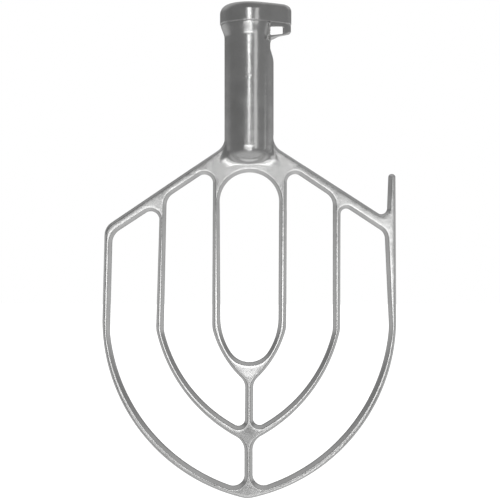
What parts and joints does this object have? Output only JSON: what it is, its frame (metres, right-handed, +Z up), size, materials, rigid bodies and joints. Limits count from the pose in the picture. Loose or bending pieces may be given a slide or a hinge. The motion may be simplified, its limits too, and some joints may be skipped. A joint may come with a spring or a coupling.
{
  "type": "flat beater paddle",
  "caption": "Cast aluminium flat beater for a planetary mixer: nested bowed loops below a bayonet socket shank, with a bowl-scraping finger at one shoulder.",
  "frame": {"origin": "on the shank's axis, at the mouth of the drive-shaft socket", "axes": "+Z up the shank and out of the socket, the broad front face looks along -Y, and the scraper finger is on +X"},
  "size_m": [0.2168, 0.0425, 0.3633],
  "materials": {
    "cast_aluminium": "burnished casting, satin, with softly rounded polished edges"
  },
  "bodies": {
    "root": {"socket_collar": "cast_aluminium", "bayonet_ear": "cast_aluminium", "shank_neck": "cast_aluminium", "shank_tube": "cast_aluminium", "yoke_boss": "cast_aluminium", "inner_loop_foot": "cast_aluminium", "centre_strut_upper": "cast_aluminium", "centre_junction": "cast_aluminium", "centre_strut_lower": "cast_aluminium", "nose_web": "cast_aluminium", "scraper_finger": "cast_aluminium", "shoulder_bar_inner_left": "cast_aluminium", "shoulder_bar_inner_right": "cast_aluminium", "shoulder_junction_left": "cast_aluminium", "shoulder_junction_right": "cast_aluminium", "shoulder_bar_outer_left": "cast_aluminium", "shoulder_bar_outer_right": "cast_aluminium", "rim_corner_left": "cast_aluminium", "rim_corner_right": "cast_aluminium", "rim_bar_left": "cast_aluminium", "rim_bar_right": "cast_aluminium", "rim_bow_left": "cast_aluminium", "rim_bow_right": "cast_aluminium", "middle_bar_left": "cast_aluminium", "middle_bar_right": "cast_aluminium", "middle_bow_left": "cast_aluminium", "middle_bow_right": "cast_aluminium", "inner_loop_bar_left": "cast_aluminium", "inner_loop_bar_right": "cast_aluminium", "inner_loop_bow_left": "cast_aluminium", "inner_loop_bow_right": "cast_aluminium"}
  },
  "joints": []
}
